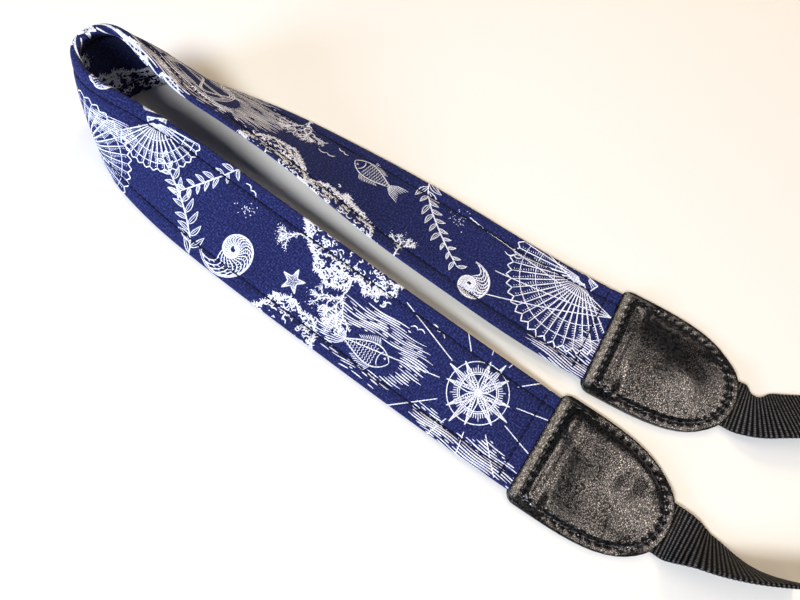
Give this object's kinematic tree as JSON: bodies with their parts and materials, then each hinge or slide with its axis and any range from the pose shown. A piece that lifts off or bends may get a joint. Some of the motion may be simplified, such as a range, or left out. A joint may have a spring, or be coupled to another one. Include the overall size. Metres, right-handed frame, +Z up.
{
  "type": "padded fabric strap with leather tabs and webbing tails",
  "caption": "Long padded cotton strap folded in a U with its print side up, a stitched leather tab on each end and a ribbed webbing tail leaving each tab.",
  "frame": {"origin": "centre of the base of the strap's box, on the surface it rests on", "axes": "+X along the strap from the folded loop to the webbing tails, +Y across both runs away from the viewer, +Z up"},
  "size_m": [0.4116, 0.1226, 0.0501],
  "materials": {
    "printed_cotton": "matt woven cotton with a white line print over the blue ground",
    "black_leather": "fine pebbled grain with a soft sheen",
    "black_webbing": "ribbed woven webbing, matt"
  },
  "bodies": {
    "root": {"fabric_band": "printed_cotton", "near_tab_front": "black_leather", "near_tab_back": "black_leather", "far_tab_front": "black_leather", "far_tab_back": "black_leather", "near_webbing": "black_webbing", "far_webbing": "black_webbing"}
  },
  "joints": []
}
